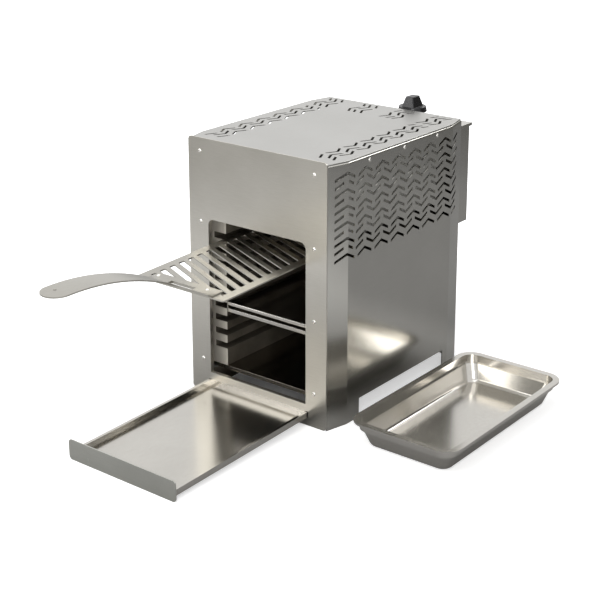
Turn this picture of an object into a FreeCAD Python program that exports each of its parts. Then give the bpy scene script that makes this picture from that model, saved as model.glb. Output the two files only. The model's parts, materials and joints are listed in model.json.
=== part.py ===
import FreeCAD, Part
import math
import os
import re
import Sketcher

# Table-top overhead gas grill: a stainless casing with a ceramic burner under its roof,
# comb racks for a grate, a shelf and a standard pan, and a drip tray below.
# Model frame while building: X to the right, Y to the back, Z up, front plate's face at y = 0,
# casing centred on x = 0. Every finished node is then moved by its Placement so that the
# origin lies under the middle of the whole set.

SIZES = {
    # front plate
    "plate_width": 260.0, "plate_rise": 5.0, "plate_thick": 2.0, "plate_corner": 6.0,
    "opening_width": 185.0, "opening_low": 33.0, "opening_above": 6.0, "opening_corner": 10.0,
    "mouth_width": 195.0, "mouth_low": 12.0, "mouth_high": 22.0,
    # frame folded behind the front plate
    "frame_thick": 1.5, "frame_lip": 5.0, "frame_edge": 3.0, "frame_margin": 1.0,
    # casing
    "casing_width": 278.0, "casing_depth": 350.0, "casing_height": 400.0, "fold_depth": 39.0,
    "sheet_thick": 1.5, "roof_thick": 2.0, "roof_inset": 1.5, "roof_edge": 1.2, "bend_radius": 3.0,
    "side_flange": 22.0, "foot_front": 69.5, "foot_back": 52.5, "notch_height": 30.4,
    # zigzag vents of the sides
    "vent_rows": 11.0, "vent_pitch": 12.0, "vent_period": 42.0, "vent_span": 34.0, "vent_rise": 8.5,
    "vent_slot": 4.4, "vent_drop": 19.8, "vent_start": 37.0, "vent_margin": 2.0,
    "strip_leg_start": 14.0, "strip_leg_end": 30.5, "strip_leg_rise": 6.8,
    "broken_start": 39.0, "broken_stop": 50.5, "broken_again": 57.0,
    # zigzag vents of the roof
    "roof_row": 89.5, "roof_middle_row": 20.0, "roof_vent_front": 27.0, "roof_vent_gap": 75.0,
    "roof_peak": 28.0, "roof_valley": 49.5, "roof_group_front": 66.0, "roof_group_rear": 9.0,
    # comb racks
    "level_count": 9.0, "level_low": 67.1, "level_drop": 31.1, "groove_height": 10.0,
    "tooth_half": 79.0, "groove_depth": 24.0, "comb_half": 107.5, "rack_sheet": 1.0,
    "comb_thick": 1.5, "comb_bar": 15.0, "rack_front": 25.0, "rack_back": 52.0, "rack_drop": 125.0,
    "floor_top": 40.0, "floor_sheet": 1.5, "floor_lip": 6.0, "floor_gap": 2.0,
    # burner
    "hood_half": 118.0, "hood_drop": 28.0, "hood_sheet": 1.2, "hood_mouth": 156.0,
    "hood_mouth_front": 16.0, "hood_mouth_rear": 14.0, "tile_width": 133.0, "tile_length": 92.0,
    "tile_thick": 13.0, "tile_gap": 6.0, "tile_lift": 2.0, "tile_ledge": 4.0, "tile_groove": 1.5,
    "tile_groove_edge": 6.0, "burner_front": 58.0, "tile_frame_wall": 3.0, "frame_foot": 1.5,
    "plenum_height": 28.0, "plenum_sheet": 1.2, "bracket_width": 18.0, "bracket_thick": 2.0,
    "bracket_inset": 20.0, "tube_radius": 11.0, "tube_wall": 1.0, "tube_mouth": 16.0,
    "tube_throat": 2.0, "tube_flare": 20.0, "tube_neck": 6.0, "tube_back": 16.0, "tube_play": 2.0,
    # igniter and thermocouple
    "probe_side": 52.0, "probe_drop": 6.0, "probe_radius": 3.5, "probe_length": 44.0,
    "probe_tail": 14.0, "probe_collar": 2.5, "probe_collar_length": 4.0, "probe_rod": 1.0,
    "probe_reach": 10.0,
    # gas valve and knob
    "knob_x": 21.0, "knob_back": 25.0, "valve_block": 24.0, "valve_drop": 19.0,
    "bonnet_radius": 9.0, "bonnet_rise": 7.0, "stem_radius": 4.0, "stem_depth": 16.0,
    "stem_reach": 12.0, "collar_radius": 7.0, "collar_height": 4.0, "press_travel": 3.0,
    "skirt_radius": 23.5, "skirt_height": 8.0, "skirt_taper": 1.5, "skirt_wall": 2.5,
    "grip_length": 30.0, "grip_width": 24.0, "grip_height": 16.5, "grip_draft": 5.0,
    "grip_edge": 2.0, "key_gap": 0.05,
    # gas inlet and injector
    "inlet_radius": 6.6, "inlet_length": 26.0, "thread_length": 14.0, "relief_length": 2.0,
    "relief_depth": 1.0, "pipe_radius": 5.0, "pipe_bore": 3.4, "nut_rim": 4.0, "nut_height": 8.0,
    "injector_radius": 5.0, "injector_rim": 3.0, "injector_nut": 6.0, "injector_bore": 1.0,
    # valve cover on the back
    "cover_half": 116.0, "cover_depth": 48.0, "cover_height": 164.0, "cover_drop": 15.0,
    "cover_sheet": 1.2, "cover_lip": 3.0, "lid_height": 4.8,
    # drip tray
    "tray_width": 192.0, "tray_reach": 286.0, "tray_tail": 4.0, "tray_height": 9.0,
    "tray_sheet": 1.0, "tray_hem": 5.0, "tray_slope": 1.2, "tray_rest": 0.1,
    "tray_panel_width": 203.0, "tray_panel_height": 31.0, "tray_panel_thick": 1.5,
    "tray_panel_corner": 6.0, "guide_gap": 3.0, "guide_foot": 12.0,
    # grate and its handle
    "grate_width": 163.0, "grate_length": 270.0, "grate_thick": 2.0, "grate_out": 165.0,
    "grate_border": 14.0, "grate_slot": 10.0, "grate_pitch": 17.9, "grate_angle": 23.5,
    "grate_corner": 4.0, "slot_corner": 1.5, "grate_slope": 1.6,
    "handle_width": 44.0, "handle_thick": 2.0, "handle_ramp": 3.108277, "handle_rise": 65.4,
    "handle_reach": 240.0, "handle_level": 18.0, "handle_end": 20.0, "handle_seat": 24.0,
    "handle_foot": 120.0, "handle_neck": 34.0, "neck_start": 4.0, "neck_foot": 16.0,
    "neck_strip": 12.0, "hang_radius": 2.2, "hang_from_tip": 22.0, "hang_side": 4.0,
    "window_left": 24.0, "window_right": 22.0, "window_front": 3.0, "window_rear": 11.0,
    "foot_rivet_left": 53.0, "foot_rivet_right": 39.0, "foot_rivet_back": 16.0,
    # shelf
    "shelf_level": 6.0, "shelf_width": 170.0, "shelf_sheet": 1.5, "shelf_inset": 1.0,
    "shelf_tongue": 6.0, "shelf_back": 8.0, "apron_drop": 4.0, "rail_rise": 6.7,
    "rail_height": 5.8, "rail_proud": 1.0,
    # pan, gastronorm 1/3, 40 mm deep
    "pan_x": 267.0, "pan_y": 144.0, "pan_width": 176.0, "pan_length": 325.0, "pan_height": 40.0,
    "pan_sheet": 0.8, "pan_rim": 9.0, "pan_rim_drop": 3.0, "pan_shoulder": 12.0, "pan_step": 2.5,
    "pan_draft": 10.0, "pan_corner": 28.0, "pan_base_radius": 8.0,
    # fasteners and clearances
    "rivet_shank": 1.6, "rivet_head": 3.2, "rivet_dome": 1.4, "rivet_tail": 1.2,
    "rivet_side": 107.5, "rivet_drop": 20.5, "rivet_pitch": 109.5, "rivet_low": 53.0,
    "rivet_last": 112.5, "side_rivet_drop": 7.0, "side_rivet_front": 89.7,
    "side_rivet_pitch": 88.7, "fit_gap": 0.15, "slide_gap": 0.3,
}

# sizes that follow from the ones above
DERIVED = {
    "casing_half": "casing_width / 2",
    "plate_half": "plate_width / 2",
    "plate_height": "casing_height + plate_rise",
    "rivet_high": "plate_height - rivet_drop",
    "side_rivet_z": "casing_height - side_rivet_drop",
    "strip_front": "plate_thick",
    "fold_rear": "casing_depth - fold_depth",
    "foot_rear": "casing_depth - foot_back",
    "vent_top": "casing_height - vent_drop",
    "rack_top": "casing_height - rack_drop",
    "rack_rear": "casing_depth - rack_back",
    "opening_high": "rack_top + opening_above",
    "comb_front": "rack_front - comb_thick",
    "comb_top": "rack_top + comb_bar",
    "level_top": "rack_top - level_drop",
    "level_pitch": "(level_top - level_low) / (level_count - 1)",
    "groove_floor": "tooth_half + groove_depth",
    "hood_top": "casing_height - hood_drop",
    "tile_base": "rack_top + tile_lift",
    "tile_frame_half": "tile_width / 2 + fit_gap + tile_frame_wall",
    "burner_length": "2 * tile_length + tile_gap",
    "burner_rear": "burner_front + burner_length",
    "plenum_base": "tile_base + tile_thick",
    "plenum_top": "plenum_base + plenum_height",
    "tube_axis": "plenum_base + plenum_height / 2",
    "tube_end": "casing_depth - tube_back",
    "probe_height": "rack_top - probe_drop",
    "knob_y": "casing_depth + knob_back",
    "cover_rear": "casing_depth + cover_depth",
    "cover_top": "casing_height - cover_drop",
    "cover_low": "cover_top - cover_height",
    "valve_top": "cover_top - valve_drop",
    "valve_low": "tube_axis - valve_block / 2",
    "valve_front": "knob_y - valve_block / 2",
    "bonnet_top": "cover_top + bonnet_rise",
    "collar_base": "bonnet_top + press_travel + slide_gap",
    "stem_low": "bonnet_top - stem_depth + press_travel + slide_gap",
    "knob_base": "collar_base - slide_gap",
    "knob_hollow": "collar_height + 2 * slide_gap",
    "tray_pivot": "mouth_low + slide_gap",
    "tray_drop": "(tray_pivot - tray_reach * sin(tray_slope) - fit_gap) / cos(tray_slope) - tray_rest",
    "guide_start": "plate_thick + frame_lip + guide_gap",
    "guide_low": "tray_pivot - fit_gap - tray_sheet",
    "guide_half": "tray_width / 2 + 3 * tray_sheet",
    "shelf_base": "level_top - (shelf_level - 1) * level_pitch",
    "shelf_front": "comb_front + fit_gap",
    "shelf_rear": "rack_rear - shelf_back",
    "shelf_edge": "tooth_half - shelf_inset",
    "rail_base": "shelf_base + rail_rise",
    "grate_base": "level_top + fit_gap",
    "grate_tip": "grate_out + handle_reach + comb_front",
    "handle_top": "grate_thick + handle_rise + handle_thick",
    "set_left": "-casing_half",
    "set_right": "pan_x + pan_width / 2",
    "set_front": "comb_front - grate_tip * cos(grate_slope) - handle_top * sin(grate_slope)",
    "set_rear": "max(cover_rear + cover_lip; knob_y + skirt_radius)",
    "origin_x": "(set_left + set_right) / 2",
    "origin_y": "(set_front + set_rear) / 2",
}

doc = FreeCAD.newDocument("OverheadGrill")
sheet = doc.addObject("Spreadsheet::Sheet", "Sizes")
for row, (alias, number) in enumerate(SIZES.items(), start=1):
    sheet.set(f"A{row}", alias.replace("_", " "))
    sheet.set(f"B{row}", str(number))
    sheet.setAlias(f"B{row}", alias)
for row, (alias, rule) in enumerate(DERIVED.items(), start=len(SIZES) + 1):
    sheet.set(f"A{row}", alias.replace("_", " "))
    sheet.set(f"B{row}", "=" + rule)
    sheet.setAlias(f"B{row}", alias)
doc.recompute()

WORDS = set(SIZES) | set(DERIVED)
V = {word: float(sheet.get(word)) for word in WORDS}
NODES = []
START = 10.0    # where sketch geometry begins before its constraints place it


def q(rule):
    """The rule as an expression: each size's name becomes a cell of the sheet."""
    def cell(match):
        word = match.group()
        return "Sizes." + word if word in WORDS else word

    return re.sub(r"[a-z][a-z_]*", cell, str(rule))


def vector(x, y, z):
    return FreeCAD.Vector(x, y, z)


def node(thing, label, moved=True):
    """Name a finished sub-part and place it in the part's own frame."""
    thing.Label = label
    if moved:
        thing.setExpression("Placement.Base.x", q("-origin_x"))
        thing.setExpression("Placement.Base.y", q("-origin_y"))
    NODES.append(thing)
    return thing


def coded(label, shape, is_node=True):
    """A sub-part whose form is computed from the sheet's values."""
    thing = doc.addObject("Part::Feature", label)
    thing.Shape = shape if shape.Placement.isIdentity() else Part.makeCompound([shape])
    if is_node:
        node(thing, label)
    return thing


# ---------------------------------------------------------------- PartDesign helpers

def mirrored(side):
    """A function that puts a rule on the left (side -1) or right (side 1) of the middle."""
    return lambda rule: f"-({rule})" if side < 0 else f"({rule})"


def new_body(label):
    body = doc.addObject("PartDesign::Body", label)
    body.Label = label + "_body"
    return body


def sketch(body, plane, offset):
    """A sketch parallel to one of the body's origin planes; offset is its x, y or z."""
    made = body.newObject("Sketcher::SketchObject", body.Name + "_sketch")
    role = plane + "_Plane"
    base = [item for item in body.Origin.OriginFeatures if item.Role == role][0]
    made.AttachmentSupport = (base, [""])
    made.MapMode = "FlatFace"
    sign = "-" if plane == "XZ" else ""
    made.setExpression("AttachmentOffset.Base.z", q(f"{sign}({offset})"))
    return made


def polygon(made, corners):
    """A closed outline whose corners are bound to the sheet."""
    first = made.GeometryCount
    count = len(corners)
    turns = [2 * math.pi * i / count for i in range(count)]
    ring = [vector(START * math.cos(turn), START * math.sin(turn), 0) for turn in turns]
    for i in range(count):
        made.addGeometry(Part.LineSegment(ring[i], ring[(i + 1) % count]), False)
    for i in range(count):
        made.addConstraint(Sketcher.Constraint("Coincident", first + i, 2, first + (i + 1) % count, 1))
    for i, corner in enumerate(corners):
        for kind, rule in zip(("DistanceX", "DistanceY"), corner):
            index = made.addConstraint(Sketcher.Constraint(kind, -1, 1, first + i, 1, START))
            made.setExpression(f"Constraints[{index}]", q(rule))


def rectangle(made, x0, y0, x1, y1):
    polygon(made, [(x0, y0), (x1, y0), (x1, y1), (x0, y1)])


def circle(made, x, y, radius):
    index = made.addGeometry(Part.Circle(vector(START, START, 0), vector(0, 0, 1), START), False)
    for kind, rule in (("DistanceX", x), ("DistanceY", y)):
        bound = made.addConstraint(Sketcher.Constraint(kind, -1, 1, index, 3, START))
        made.setExpression(f"Constraints[{bound}]", q(rule))
    bound = made.addConstraint(Sketcher.Constraint("Radius", index, START))
    made.setExpression(f"Constraints[{bound}]", q(radius))


def pad(body, made, length):
    """Add material from the sketch towards +X, +Y or +Z."""
    feature = body.newObject("PartDesign::Pad", body.Name + "_pad")
    feature.Profile = (made, [""])
    feature.setExpression("Length", q(length))
    feature.Reversed = "XZ" in made.AttachmentSupport[0][0].Role
    doc.recompute()
    return feature


def pocket(body, made, length):
    """Take material from the sketch towards +X, +Y or +Z, and make sure that some went."""
    before = body.Shape.Volume
    feature = body.newObject("PartDesign::Pocket", body.Name + "_pocket")
    feature.Profile = (made, [""])
    feature.setExpression("Length", q(length))
    feature.Reversed = "XZ" not in made.AttachmentSupport[0][0].Role
    doc.recompute()
    if body.Shape.Volume >= before:
        raise RuntimeError(f"{body.Label}: a pocket cut nothing")
    return feature


def rise_pattern(body, feature, count, length):
    """Repeat a feature up the Z direction of its own XZ sketch."""
    pattern = body.newObject("PartDesign::LinearPattern", body.Name + "_pattern")
    pattern.Originals = [feature]
    pattern.Direction = (feature.Profile[0], ["V_Axis"])
    pattern.setExpression("Length", q(length))
    pattern.setExpression("Occurrences", q(count))
    body.Tip = pattern
    doc.recompute()
    return pattern


def round_edges(body, picks, radius):
    """Fillet the edges of the body's present shape that the test picks."""
    base = body.Tip
    names = [f"Edge{i}" for i, edge in enumerate(base.Shape.Edges, start=1) if picks(edge)]
    feature = body.newObject("PartDesign::Fillet", body.Name + "_fillet")
    feature.Base = (base, names)
    feature.setExpression("Radius", q(radius))
    doc.recompute()
    return feature


def runs_along(edge, axis):
    """True for a straight edge that is parallel to the axis 'x', 'y' or 'z'."""
    if edge.Curve.TypeId != "Part::GeomLine":
        return False
    along = edge.Curve.Direction
    return abs(abs(getattr(along, axis)) - 1) < 1e-6


def near(edge, **place):
    """True when the middle of the edge's box lies at the given x, y or z."""
    centre = edge.BoundBox.Center
    return all(abs(getattr(centre, axis) - value) < 0.01 for axis, value in place.items())


def cylinder(label, x, y, z, radius, height, axis="z"):
    """A Part::Cylinder that starts at the given point and runs towards the axis."""
    made = doc.addObject("Part::Cylinder", label)
    made.setExpression("Radius", q(radius))
    made.setExpression("Height", q(height))
    turn = {"z": (vector(0, 0, 1), 0), "x": (vector(0, 1, 0), 90), "y": (vector(1, 0, 0), -90)}[axis]
    made.Placement.Rotation = FreeCAD.Rotation(*turn)
    for name, rule in zip("xyz", (x, y, z)):
        made.setExpression(f"Placement.Base.{name}", q(rule))
    return made


def box(label, x0, y0, z0, length, width, height):
    made = doc.addObject("Part::Box", label)
    for name, rule in (("Length", length), ("Width", width), ("Height", height)):
        made.setExpression(name, q(rule))
    for name, rule in zip("xyz", (x0, y0, z0)):
        made.setExpression(f"Placement.Base.{name}", q(rule))
    return made


def fuse(label, parts):
    made = doc.addObject("Part::MultiFuse", label)
    made.Shapes = parts
    made.Refine = True
    return made


def cut(label, base, tool):
    made = doc.addObject("Part::Cut", label)
    made.Base = base
    made.Tool = tool
    return made


# ---------------------------------------------------------------- front plate and its frame

RIVET_ROWS = ["rivet_high", "rivet_high - rivet_pitch", "rivet_low + rivet_last", "rivet_low"]


def rivet_holes(made, radius):
    for side in ("-", ""):
        for row in RIVET_ROWS:
            circle(made, f"{side}rivet_side", row, radius)


def front_plate():
    body = new_body("front_plate")
    outline = sketch(body, "XZ", "0")
    rectangle(outline, "-plate_half", "0", "plate_half", "plate_height")
    pad(body, outline, "plate_thick")
    corners = lambda e: runs_along(e, "y") and abs(e.BoundBox.Center.x) > V["plate_half"] - 0.01
    round_edges(body, corners, "plate_corner")
    opening = sketch(body, "XZ", "0")
    rectangle(opening, "-opening_width / 2", "opening_low", "opening_width / 2", "opening_high")
    rectangle(opening, "-mouth_width / 2", "mouth_low", "mouth_width / 2", "mouth_high")
    rivet_holes(opening, "rivet_shank + fit_gap")
    pocket(body, opening, "plate_thick")
    round_edges(body, lambda e: runs_along(e, "y") and near(e, z=V["opening_high"]), "opening_corner")
    node(body, "front_plate")


def front_frame():
    """The stiffening frame: a sheet behind the plate with a lip round the opening."""
    body = new_body("front_frame")
    outline = sketch(body, "XZ", "plate_thick")
    rectangle(outline, "-plate_half + frame_edge", "frame_edge", "plate_half - frame_edge",
              "casing_height - frame_edge")
    pad(body, outline, "frame_thick")
    lip = sketch(body, "XZ", "plate_thick")
    rectangle(lip, "-opening_width / 2 - frame_thick", "opening_low - frame_thick",
              "opening_width / 2 + frame_thick", "opening_high + frame_thick")
    pad(body, lip, "frame_lip")
    opening = sketch(body, "XZ", "plate_thick")
    rectangle(opening, "-opening_width / 2", "opening_low", "opening_width / 2", "opening_high")
    rectangle(opening, "-mouth_width / 2 - frame_margin", "mouth_low - frame_margin",
              "mouth_width / 2 + frame_margin", "mouth_high + frame_margin")
    rivet_holes(opening, "rivet_shank + fit_gap")
    pocket(body, opening, "frame_lip")
    round_edges(body, lambda e: runs_along(e, "y") and near(e, z=V["opening_high"]), "opening_corner")
    outer = lambda e: runs_along(e, "y") and near(e, z=V["opening_high"] + V["frame_thick"])
    round_edges(body, outer, "opening_corner + frame_thick")
    node(body, "front_frame")


def rivet(start, direction, grip):
    """A blind rivet: domed head on the outer face, shank, and a flat tail behind the grip."""
    head = V["rivet_head"]
    shank = V["rivet_shank"]
    dome = V["rivet_dome"]
    end = grip + V["rivet_tail"]
    tail = head * 3 / 4
    middle = Part.Arc(vector(0, 0, -dome), vector(tail, 0, -dome * 2 / 3), vector(head, 0, 0))
    path = [vector(head, 0, 0), vector(shank, 0, 0), vector(shank, 0, grip), vector(tail, 0, grip),
            vector(tail, 0, end), vector(0, 0, end), vector(0, 0, -dome)]
    edges = [middle.toShape()] + [Part.makeLine(a, b) for a, b in zip(path, path[1:])]
    solid = Part.Face(Part.Wire(edges)).revolve(vector(0, 0, 0), vector(0, 0, 1), 360)
    solid.Placement = FreeCAD.Placement(start, FreeCAD.Rotation(vector(0, 0, 1), direction))
    return solid


def rivets():
    grip = V["plate_thick"] + V["frame_thick"]
    heights = [V["rivet_high"], V["rivet_high"] - V["rivet_pitch"], V["rivet_low"] + V["rivet_last"],
               V["rivet_low"]]
    front = [rivet(vector(side * V["rivet_side"], 0, z), vector(0, 1, 0), grip)
             for side in (-1, 1) for z in heights]
    coded("front_rivets", Part.makeCompound(front))
    side_rows = [V["side_rivet_front"] + i * V["side_rivet_pitch"] for i in range(3)]
    half = V["casing_half"]
    height = V["side_rivet_z"]
    sides = [rivet(vector(side * half, y, height), vector(-side, 0, 0), V["sheet_thick"])
             for side in (-1, 1) for y in side_rows]
    coded("side_rivets", Part.makeCompound(sides))


# ---------------------------------------------------------------- casing

def slot_outline(path):
    """Outline of a slot whose lower edge follows the path and whose ends are upright."""
    return path + [(along, up + V["vent_slot"]) for along, up in reversed(path)]


def zigzag(centre, base, points_up):
    """The path of one chevron about its centre, with its point up or down."""
    reach = V["vent_span"] / 2
    outer = base if points_up else base + V["vent_rise"]
    point = base + V["vent_rise"] if points_up else base
    return [(centre - reach, outer), (centre, point), (centre + reach, outer)]


def side_vent_paths(row):
    """Every zigzag slot in one row of a side, from the front strip to the rear strip."""
    base = V["vent_top"] - row * V["vent_pitch"] - (V["vent_rise"] + V["vent_slot"]) / 2
    high = base + V["vent_rise"]
    period = V["vent_period"]
    reach = V["vent_span"] / 2
    last = V["casing_depth"] - V["vent_margin"]
    points_up = row % 2 == 0
    if points_up:
        centre = V["vent_start"]
        paths = [[(V["strip_leg_start"], base), (centre, high), (centre + reach, base)]]
    else:
        centre = V["vent_start"] + period / 2
        slope = V["vent_rise"] / reach
        broken = high - (V["broken_stop"] - V["broken_start"]) * slope
        paths = [[(V["strip_leg_start"], base), (V["strip_leg_end"], base + V["strip_leg_rise"])],
                 [(V["broken_start"], high), (V["broken_stop"], broken)],
                 [(V["broken_again"], base), (centre + reach, high)]]
    centre += period
    while centre < last:
        whole = zigzag(centre, base, points_up)
        paths.append(whole if centre + reach < last else whole[:2])
        centre += period
    return paths


def side_vents(side):
    """Prisms for the zigzag rows of one side."""
    inner = V["plate_half"] - V["sheet_thick"] - V["vent_margin"]
    length = V["casing_half"] + V["vent_margin"] - inner
    prisms = []
    for row in range(int(V["vent_rows"])):
        for path in side_vent_paths(row):
            points = [vector(side * inner, y, z) for y, z in slot_outline(path)]
            face = Part.Face(Part.makePolygon(points + points[:1]))
            prisms.append(face.extrude(vector(side * length, 0, 0)))
    return Part.makeCompound(prisms)


def side_panel(name, side):
    """One bent sheet: front strip, side, rear strip and a flange under the roof."""
    across = mirrored(side)
    block = new_body(name + "_block")
    outline = sketch(block, "XY", "0")
    polygon(outline, [(across("plate_half"), "strip_front"), (across("casing_half"), "fold_depth"),
                      (across("casing_half"), "fold_rear"), (across("plate_half"), "casing_depth"),
                      (across("casing_half - side_flange"), "casing_depth"),
                      (across("casing_half - side_flange"), "strip_front")])
    pad(block, outline, "casing_height")
    bend = lambda e: near(e, z=V["casing_height"]) and abs(e.BoundBox.Center.x) > V["plate_half"] + 1
    round_edges(block, bend, "bend_radius")
    start = "-(casing_half + sheet_thick / 2)" if side < 0 else "casing_half - 1.5 * sheet_thick"
    notch = sketch(block, "YZ", start)
    rectangle(notch, "foot_front", "-1", "foot_rear", "notch_height")
    for i in range(3):
        circle(notch, f"side_rivet_front + {i} * side_rivet_pitch", "side_rivet_z", "rivet_shank + fit_gap")
    pocket(block, notch, "2 * sheet_thick")

    core = new_body(name + "_core")
    hollow = sketch(core, "XY", "-1")
    polygon(hollow, [(across("plate_half - sheet_thick"), "strip_front - 1"),
                     (across("plate_half - sheet_thick"), "strip_front + sheet_thick / 4"),
                     (across("casing_half - sheet_thick"), "fold_depth + sheet_thick / 4"),
                     (across("casing_half - sheet_thick"), "fold_rear - sheet_thick / 4"),
                     (across("plate_half - sheet_thick"), "casing_depth - sheet_thick / 4"),
                     (across("plate_half - sheet_thick"), "casing_depth + 1"),
                     (across("casing_half - side_flange - 1"), "casing_depth + 1"),
                     (across("casing_half - side_flange - 1"), "strip_front - 1")])
    pad(core, hollow, "casing_height - sheet_thick + 1")
    inside = V["plate_half"] - V["sheet_thick"] + 1
    ceiling = V["casing_height"] - V["sheet_thick"]
    inner_bend = lambda e: near(e, z=ceiling) and abs(e.BoundBox.Center.x) > inside
    round_edges(core, inner_bend, "bend_radius - sheet_thick")
    wall = cut(name + "_wall", block, core)
    vents = coded(name + "_vents", side_vents(side), is_node=False)
    node(cut(name, wall, vents), name)


def roof_vents():
    """Vent rows along both edges of the roof, and short groups of the same rows at the back."""
    period = V["vent_period"]
    reach = V["vent_span"] / 2
    low = V["casing_height"] - 3 * V["sheet_thick"]
    height = 5 * V["sheet_thick"] + V["roof_thick"]
    group_front = V["casing_depth"] - V["roof_group_front"]
    group_rear = V["casing_depth"] - V["roof_group_rear"]
    front_end = V["casing_depth"] - V["roof_vent_gap"]

    def row_of_slots(side, row_x, first, points_out, start, end):
        """The slots of one row, cut off square where the row starts and ends."""
        slots = []
        centre = first
        while centre - reach < end:
            path = zigzag(centre, -V["vent_rise"] / 2, points_out)
            points = [vector(side * (row_x + up), along, low) for along, up in slot_outline(path)]
            slots.append(Part.Face(Part.makePolygon(points + points[:1])).extrude(vector(0, 0, height)))
            centre += period
        limits = Part.makeBox(2 * V["casing_width"], end - start, 2 * height)
        limits.translate(vector(-V["casing_width"], start, low - height / 2))
        return [solid for slot in slots for solid in slot.common(limits).Solids]

    prisms = []
    for side in (-1, 1):
        for row in range(3):
            points_out = row % 2 == 0
            edge_x = V["roof_row"] + row * V["vent_pitch"]
            middle_x = V["roof_middle_row"] + row * V["vent_pitch"]
            first = V["roof_peak"] if points_out else V["roof_valley"]
            group = group_front + reach if points_out else group_rear - reach - period
            prisms += row_of_slots(side, edge_x, first, points_out, V["roof_vent_front"], front_end)
            prisms += row_of_slots(side, edge_x, group, points_out, group_front, group_rear)
            prisms += row_of_slots(side, middle_x, group, points_out, group_front, group_rear)
    return Part.makeCompound(prisms)


def roof_panel():
    body = new_body("roof_panel")
    outline = sketch(body, "XY", "casing_height")
    end = "(plate_half - roof_inset)"
    side = "(casing_half - roof_inset)"
    polygon(outline, [(f"-{end}", "plate_thick"), (end, "plate_thick"), (side, "fold_depth"),
                      (side, "fold_rear"), (end, "casing_depth"), (f"-{end}", "casing_depth"),
                      (f"-{side}", "fold_rear"), (f"-{side}", "fold_depth")])
    pad(body, outline, "roof_thick")
    top = V["casing_height"] + V["roof_thick"]
    rim = lambda e: near(e, z=top) and e.BoundBox.Center.y > V["plate_thick"] + 1
    round_edges(body, rim, "roof_edge")
    vents = coded("roof_panel_vents", roof_vents(), is_node=False)
    node(cut("roof_panel", body, vents), "roof_panel")


def rear_plate():
    body = new_body("rear_plate")
    outline = sketch(body, "XZ", "casing_depth - sheet_thick")
    rectangle(outline, "-(plate_half - sheet_thick - slide_gap)", "0",
              "plate_half - sheet_thick - slide_gap", "casing_height - sheet_thick")
    pad(body, outline, "sheet_thick")
    gaps = sketch(body, "XZ", "casing_depth - sheet_thick")
    rectangle(gaps, "-mouth_width / 2", "0", "mouth_width / 2", "notch_height")
    circle(gaps, "knob_x", "tube_axis", "tube_mouth + tube_play")
    pocket(body, gaps, "sheet_thick")
    node(body, "rear_plate")


# ---------------------------------------------------------------- grilling chamber

def comb_frame():
    """The front of the chamber: comb teeth on both sides joined by a cross member on top."""
    body = new_body("comb_frame")
    outline = sketch(body, "XZ", "comb_front")
    rectangle(outline, "-comb_half", "floor_top", "comb_half", "comb_top")
    pad(body, outline, "comb_thick")
    opening = sketch(body, "XZ", "comb_front")
    rectangle(opening, "-tooth_half", "floor_top", "tooth_half", "rack_top")
    pocket(body, opening, "comb_thick")
    grooves = sketch(body, "XZ", "comb_front")
    rectangle(grooves, "-groove_floor", "level_low", "groove_floor", "level_low + groove_height")
    first = pocket(body, grooves, "comb_thick")
    rise_pattern(body, first, "level_count", "(level_count - 1) * level_pitch")
    node(body, "comb_frame")


def rack(name, side):
    """A corrugated side of the chamber: every groove is a runner for the grate, shelf or pan."""
    body = new_body(name)
    across = mirrored(side)
    depth = "rack_rear - rack_front"
    beyond = across("groove_floor + 2 * rack_sheet")
    outline = sketch(body, "XZ", "rack_front")
    rectangle(outline, across("tooth_half"), "floor_top", across("groove_floor + rack_sheet"), "rack_top")
    pad(body, outline, depth)
    inside = sketch(body, "XZ", "rack_front")
    rectangle(inside, across("tooth_half - rack_sheet"), "level_low", across("groove_floor"),
              "level_low + groove_height")
    first = pocket(body, inside, depth)
    rise_pattern(body, first, "level_count", "(level_count - 1) * level_pitch")
    outside = sketch(body, "XZ", "rack_front")
    rectangle(outside, across("tooth_half + rack_sheet"), "level_low + groove_height + rack_sheet",
              beyond, "level_low + level_pitch - rack_sheet")
    second = pocket(body, outside, depth)
    rise_pattern(body, second, "level_count - 1", "(level_count - 2) * level_pitch")
    ends = sketch(body, "XZ", "rack_front")
    rectangle(ends, across("tooth_half + rack_sheet"), "floor_top + rack_sheet", beyond,
              "level_low - rack_sheet")
    rectangle(ends, across("tooth_half + rack_sheet"), "level_top + groove_height + rack_sheet", beyond,
              "rack_top - rack_sheet")
    pocket(body, ends, depth)
    node(body, name)


def chamber_shell():
    body = new_body("chamber_floor")
    base = sketch(body, "XY", "floor_top - floor_sheet")
    wing = "casing_half - sheet_thick"
    polygon(base, [("-comb_half", "comb_front"), ("comb_half", "comb_front"),
                   ("comb_half", "fold_depth + floor_gap"), (wing, "fold_depth + floor_gap"),
                   (wing, "fold_rear - floor_gap"), (f"-({wing})", "fold_rear - floor_gap"),
                   (f"-({wing})", "fold_depth + floor_gap"), ("-comb_half", "fold_depth + floor_gap")])
    pad(body, base, "floor_sheet")
    lip = sketch(body, "XZ", "comb_front")
    rectangle(lip, "-comb_half", "floor_top - floor_lip", "comb_half", "floor_top - floor_sheet")
    pad(body, lip, "floor_sheet")
    for side in (-1, 1):
        across = mirrored(side)
        flange = sketch(body, "XY", "floor_top")
        rectangle(flange, across(wing), "fold_depth + floor_gap", across(f"{wing} - floor_sheet"),
                  "fold_rear - floor_gap")
        pad(body, flange, "2 * floor_lip")
    node(body, "chamber_floor")

    body = new_body("chamber_back")
    wall = sketch(body, "XZ", "rack_rear")
    rectangle(wall, "-comb_half", "floor_top", "comb_half", "rack_top")
    for side in ("-", ""):
        circle(wall, f"{side}probe_side", "probe_height", "probe_radius + fit_gap")
    pad(body, wall, "comb_thick")
    node(body, "chamber_back")


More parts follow.
